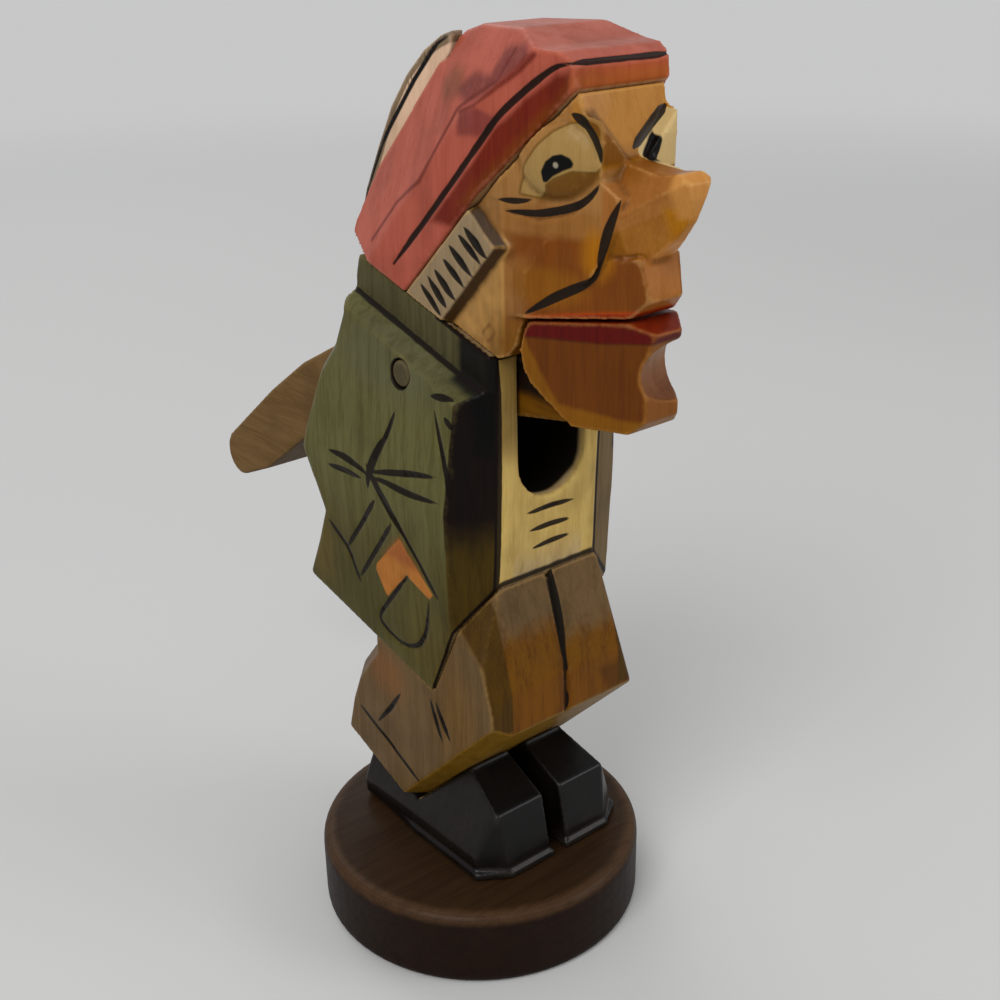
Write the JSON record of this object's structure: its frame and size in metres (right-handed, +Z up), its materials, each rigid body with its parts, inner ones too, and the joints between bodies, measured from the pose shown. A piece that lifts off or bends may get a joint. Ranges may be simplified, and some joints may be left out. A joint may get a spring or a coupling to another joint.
{
  "type": "lever nutcracker figure",
  "caption": "Carved wooden figure on a round plinth, whose lower jaw opens on a cross dowel when the lever through its back is raised.",
  "frame": {"origin": "centre of the plinth's underside", "axes": "+Z up, -Y the way the figure faces, +X to the figure's left"},
  "size_m": [0.08, 0.1706, 0.2129],
  "materials": {
    "walnut_stain": "dark walnut stain, satin",
    "boot": "black paint, gloss",
    "trouser_brown": "thin brown paint over wood, satin lacquer",
    "coat_green": "thin olive green paint over wood with a cream shirt front, satin lacquer",
    "honey_lacquer": "honey stain, gloss lacquer, with painted eyes and lips",
    "cap_red": "thin brick red paint over wood, satin lacquer",
    "handle_brown": "brown stain, matte",
    "chin_lacquer": "amber stain, gloss lacquer, with a painted lower lip",
    "feather_cream": "cream and olive paint, satin",
    "dowel_wood": "bare birch",
    "pivot_wood": "olive green paint on the ends",
    "screw_steel": "yellow zinc plate"
  },
  "bodies": {
    "figure": {"base_plinth": "walnut_stain", "base_screw_right": "screw_steel", "base_screw_left": "screw_steel", "boot_right": "boot", "boot_left": "boot", "boot_dowel_right": "dowel_wood", "boot_dowel_left": "dowel_wood", "trousers": "trouser_brown", "waist_dowel_right": "dowel_wood", "waist_dowel_left": "dowel_wood", "torso": "coat_green", "pivot_dowel": "pivot_wood", "neck_dowel_right": "dowel_wood", "neck_dowel_left": "dowel_wood", "head": "honey_lacquer", "cap": "cap_red", "cap_dowel": "dowel_wood", "cap_feather": "feather_cream"},
    "jaw": {"jaw_lever": "handle_brown", "chin_block": "chin_lacquer", "chin_dowel": "dowel_wood"}
  },
  "joints": [
    {"name": "jaw_hinge", "type": "hinge", "parent": "figure", "child": "jaw", "pos_m": [0.005, 0.0015, 0.1413], "axis": [1, 0, 0], "range_deg": [0, 24]}
  ]
}
